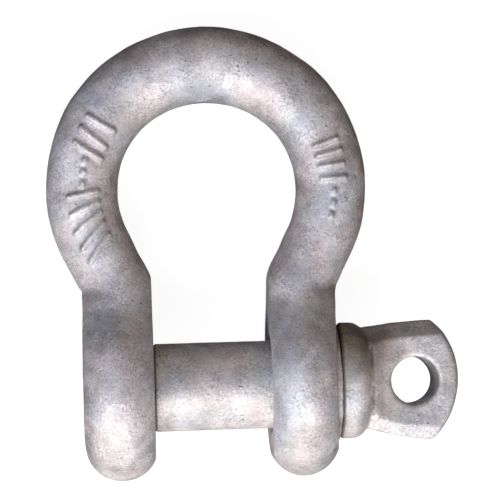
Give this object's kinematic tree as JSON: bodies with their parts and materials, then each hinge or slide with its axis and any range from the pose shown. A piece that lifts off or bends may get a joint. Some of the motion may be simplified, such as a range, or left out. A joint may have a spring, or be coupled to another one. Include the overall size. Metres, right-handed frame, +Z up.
{
  "type": "screw pin bow shackle",
  "caption": "Galvanised bow shackle: an omega-shaped forged bow closed by a screw pin with a collar and a flat eye head.",
  "frame": {"origin": "on the pin axis, midway between the inner faces of the two ears, with the shackle lying flat as on a bench", "axes": "+X along the pin towards its eye head; +Y towards the crown of the bow; +Z up from the surface it lies on. The bow's plane holds the X axis and leans 9.7 degrees down towards the crown, because the ears are deeper than the bar."},
  "size_m": [0.0933, 0.1028, 0.0424],
  "materials": {
    "bow_zinc": "hot-dip galvanised, matt and mottled",
    "pin_zinc": "hot-dip galvanised, satin"
  },
  "bodies": {
    "bow": {"bow_body": "bow_zinc"},
    "pin_carrier": {"pin_end": "pin_zinc"},
    "pin": {"screw_pin": "pin_zinc"}
  },
  "joints": [
    {"name": "pin_advance", "type": "slide", "parent": "bow", "child": "pin_carrier", "axis": [1, 0, 0], "range_m": [0, 0.0635]},
    {"name": "pin_turn", "type": "hinge", "parent": "pin_carrier", "child": "pin", "pos_m": [0, 0, 0], "axis": [1, 0, 0], "range_deg": [0, 9000]}
  ],
  "couplings": [
    {"joint": "pin_advance", "follows": "pin_turn", "m_per_rad": 0.00040425}
  ]
}
